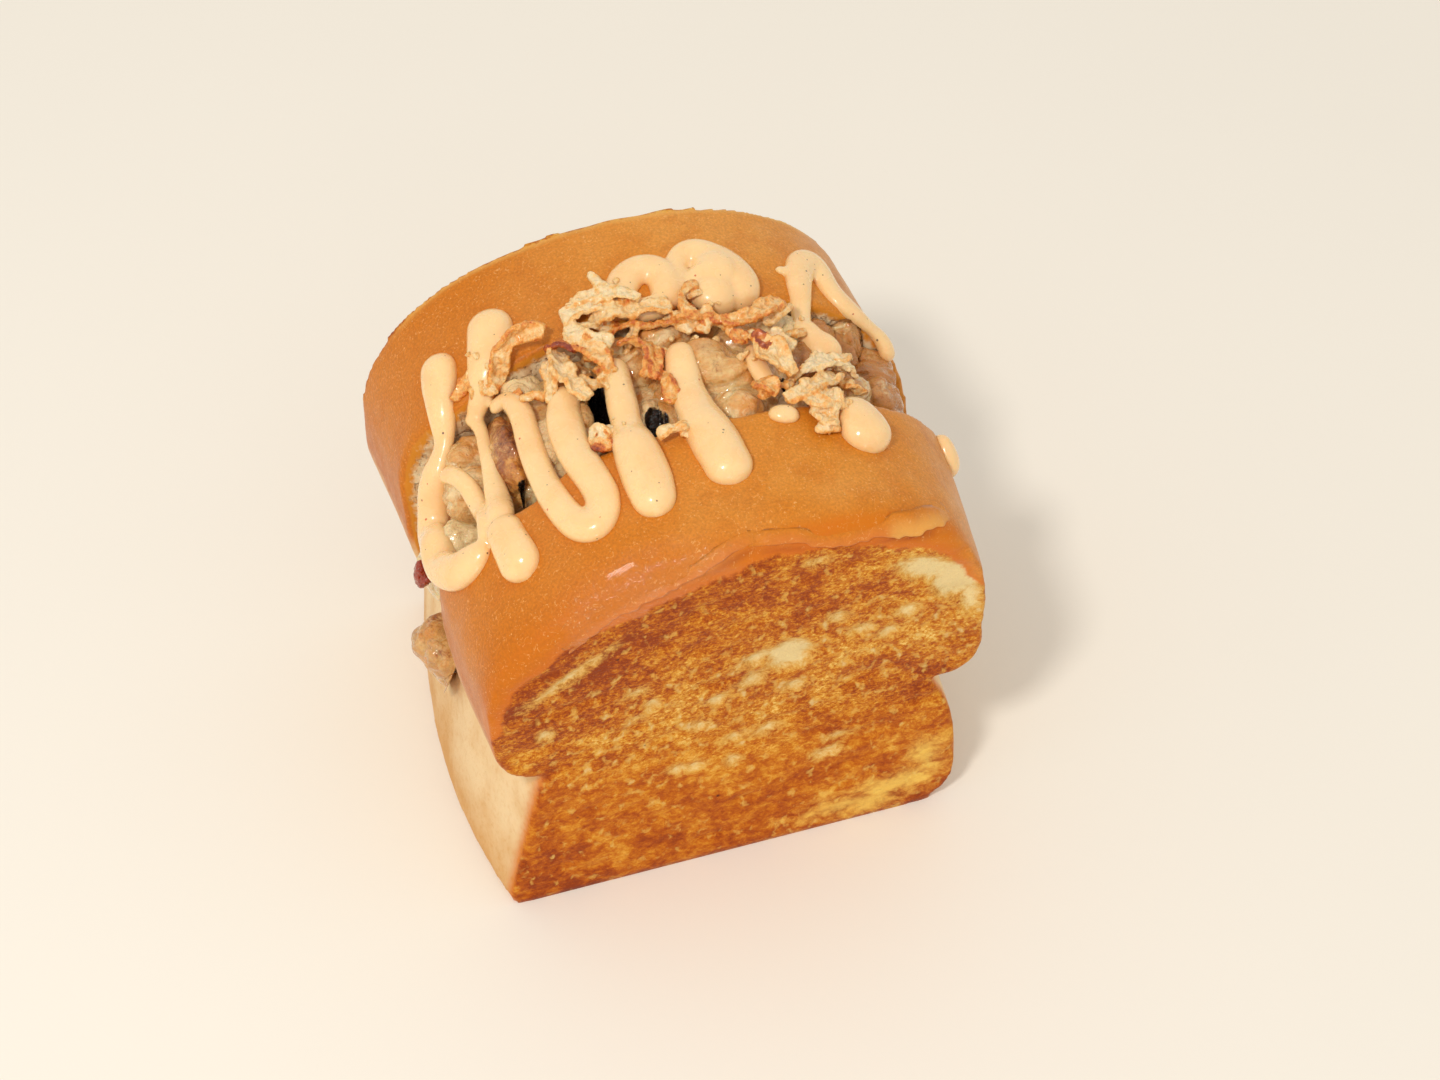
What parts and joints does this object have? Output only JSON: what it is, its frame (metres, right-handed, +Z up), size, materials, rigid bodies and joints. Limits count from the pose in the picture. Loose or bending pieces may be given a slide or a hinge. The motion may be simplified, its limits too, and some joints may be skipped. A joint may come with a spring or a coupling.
{
  "type": "grilled chicken brioche sandwich",
  "caption": "Thick brioche slice on its flat pan bottom, slit from the top and stuffed with grilled chicken, crispy onion strips and a zigzag of sauce.",
  "frame": {"origin": "on the flat bottom, half way between the slice's left and right ends and on the middle line of its depth", "axes": "+X towards the right end along the slit, +Y from the toasted front face to the back face, +Z up through the top crust"},
  "size_m": [0.1079, 0.0871, 0.0972],
  "materials": {
    "brioche": "baked crust with a soft egg-wash gloss, toasted cut faces",
    "chicken_filling": "moist grilled chicken with char",
    "sauce_drizzle": "smooth creamy sauce with pepper and chilli specks",
    "onion_strips": "fried, crisp, browned at the edges"
  },
  "bodies": {
    "root": {"brioche": "brioche", "chicken_filling": "chicken_filling"}
  },
  "joints": []
}
